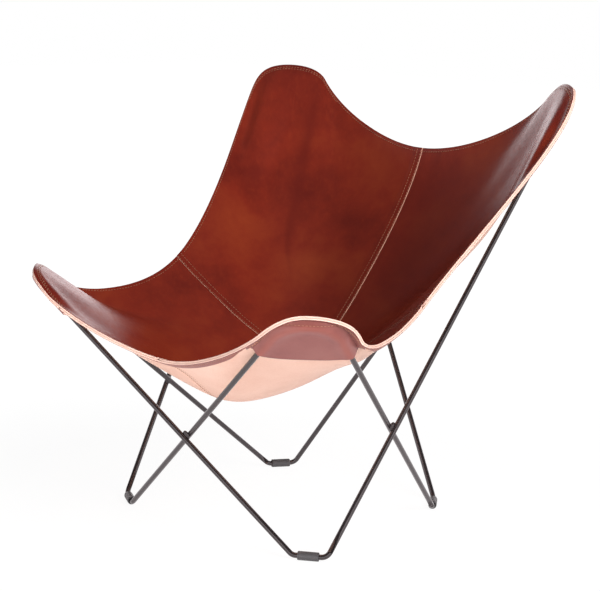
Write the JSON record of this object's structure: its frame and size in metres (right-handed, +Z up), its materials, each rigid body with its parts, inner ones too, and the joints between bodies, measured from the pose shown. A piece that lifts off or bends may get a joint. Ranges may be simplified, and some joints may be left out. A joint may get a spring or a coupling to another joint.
{
  "type": "lounge chair",
  "caption": "Lounge chair with a leather sling seat hung by corner pockets on a frame of bent steel rod whose legs cross on every side.",
  "frame": {"origin": "on the floor under the middle of the chair's outline", "axes": "+Z up, -Y to the front where the sitter's knees are, +X to the right seen from the front"},
  "size_m": [0.892, 0.8958, 0.9116],
  "materials": {
    "rod": "satin black",
    "weld": "satin black",
    "sleeve": "matt",
    "sling": "semi-gloss waxed grain outside, raw flesh underneath",
    "pocket": "semi-gloss waxed grain",
    "strip": "semi-gloss waxed grain"
  },
  "bodies": {
    "root": {"rod_front_left": "rod", "sleeve_front_left": "sleeve", "panel_front_left": "sling", "pocket_front_left": "pocket", "rod_back_left": "rod", "sleeve_back_left": "sleeve", "panel_back_left": "sling", "pocket_back_left": "pocket", "rod_front_right": "rod", "sleeve_front_right": "sleeve", "panel_front_right": "sling", "pocket_front_right": "pocket", "rod_back_right": "rod", "sleeve_back_right": "sleeve", "panel_back_right": "sling", "pocket_back_right": "pocket", "weld_front": "weld", "strip_front": "strip", "weld_back": "weld", "strip_back": "strip", "weld_right": "weld", "strip_right": "strip", "weld_left": "weld", "strip_left": "strip"}
  },
  "joints": []
}
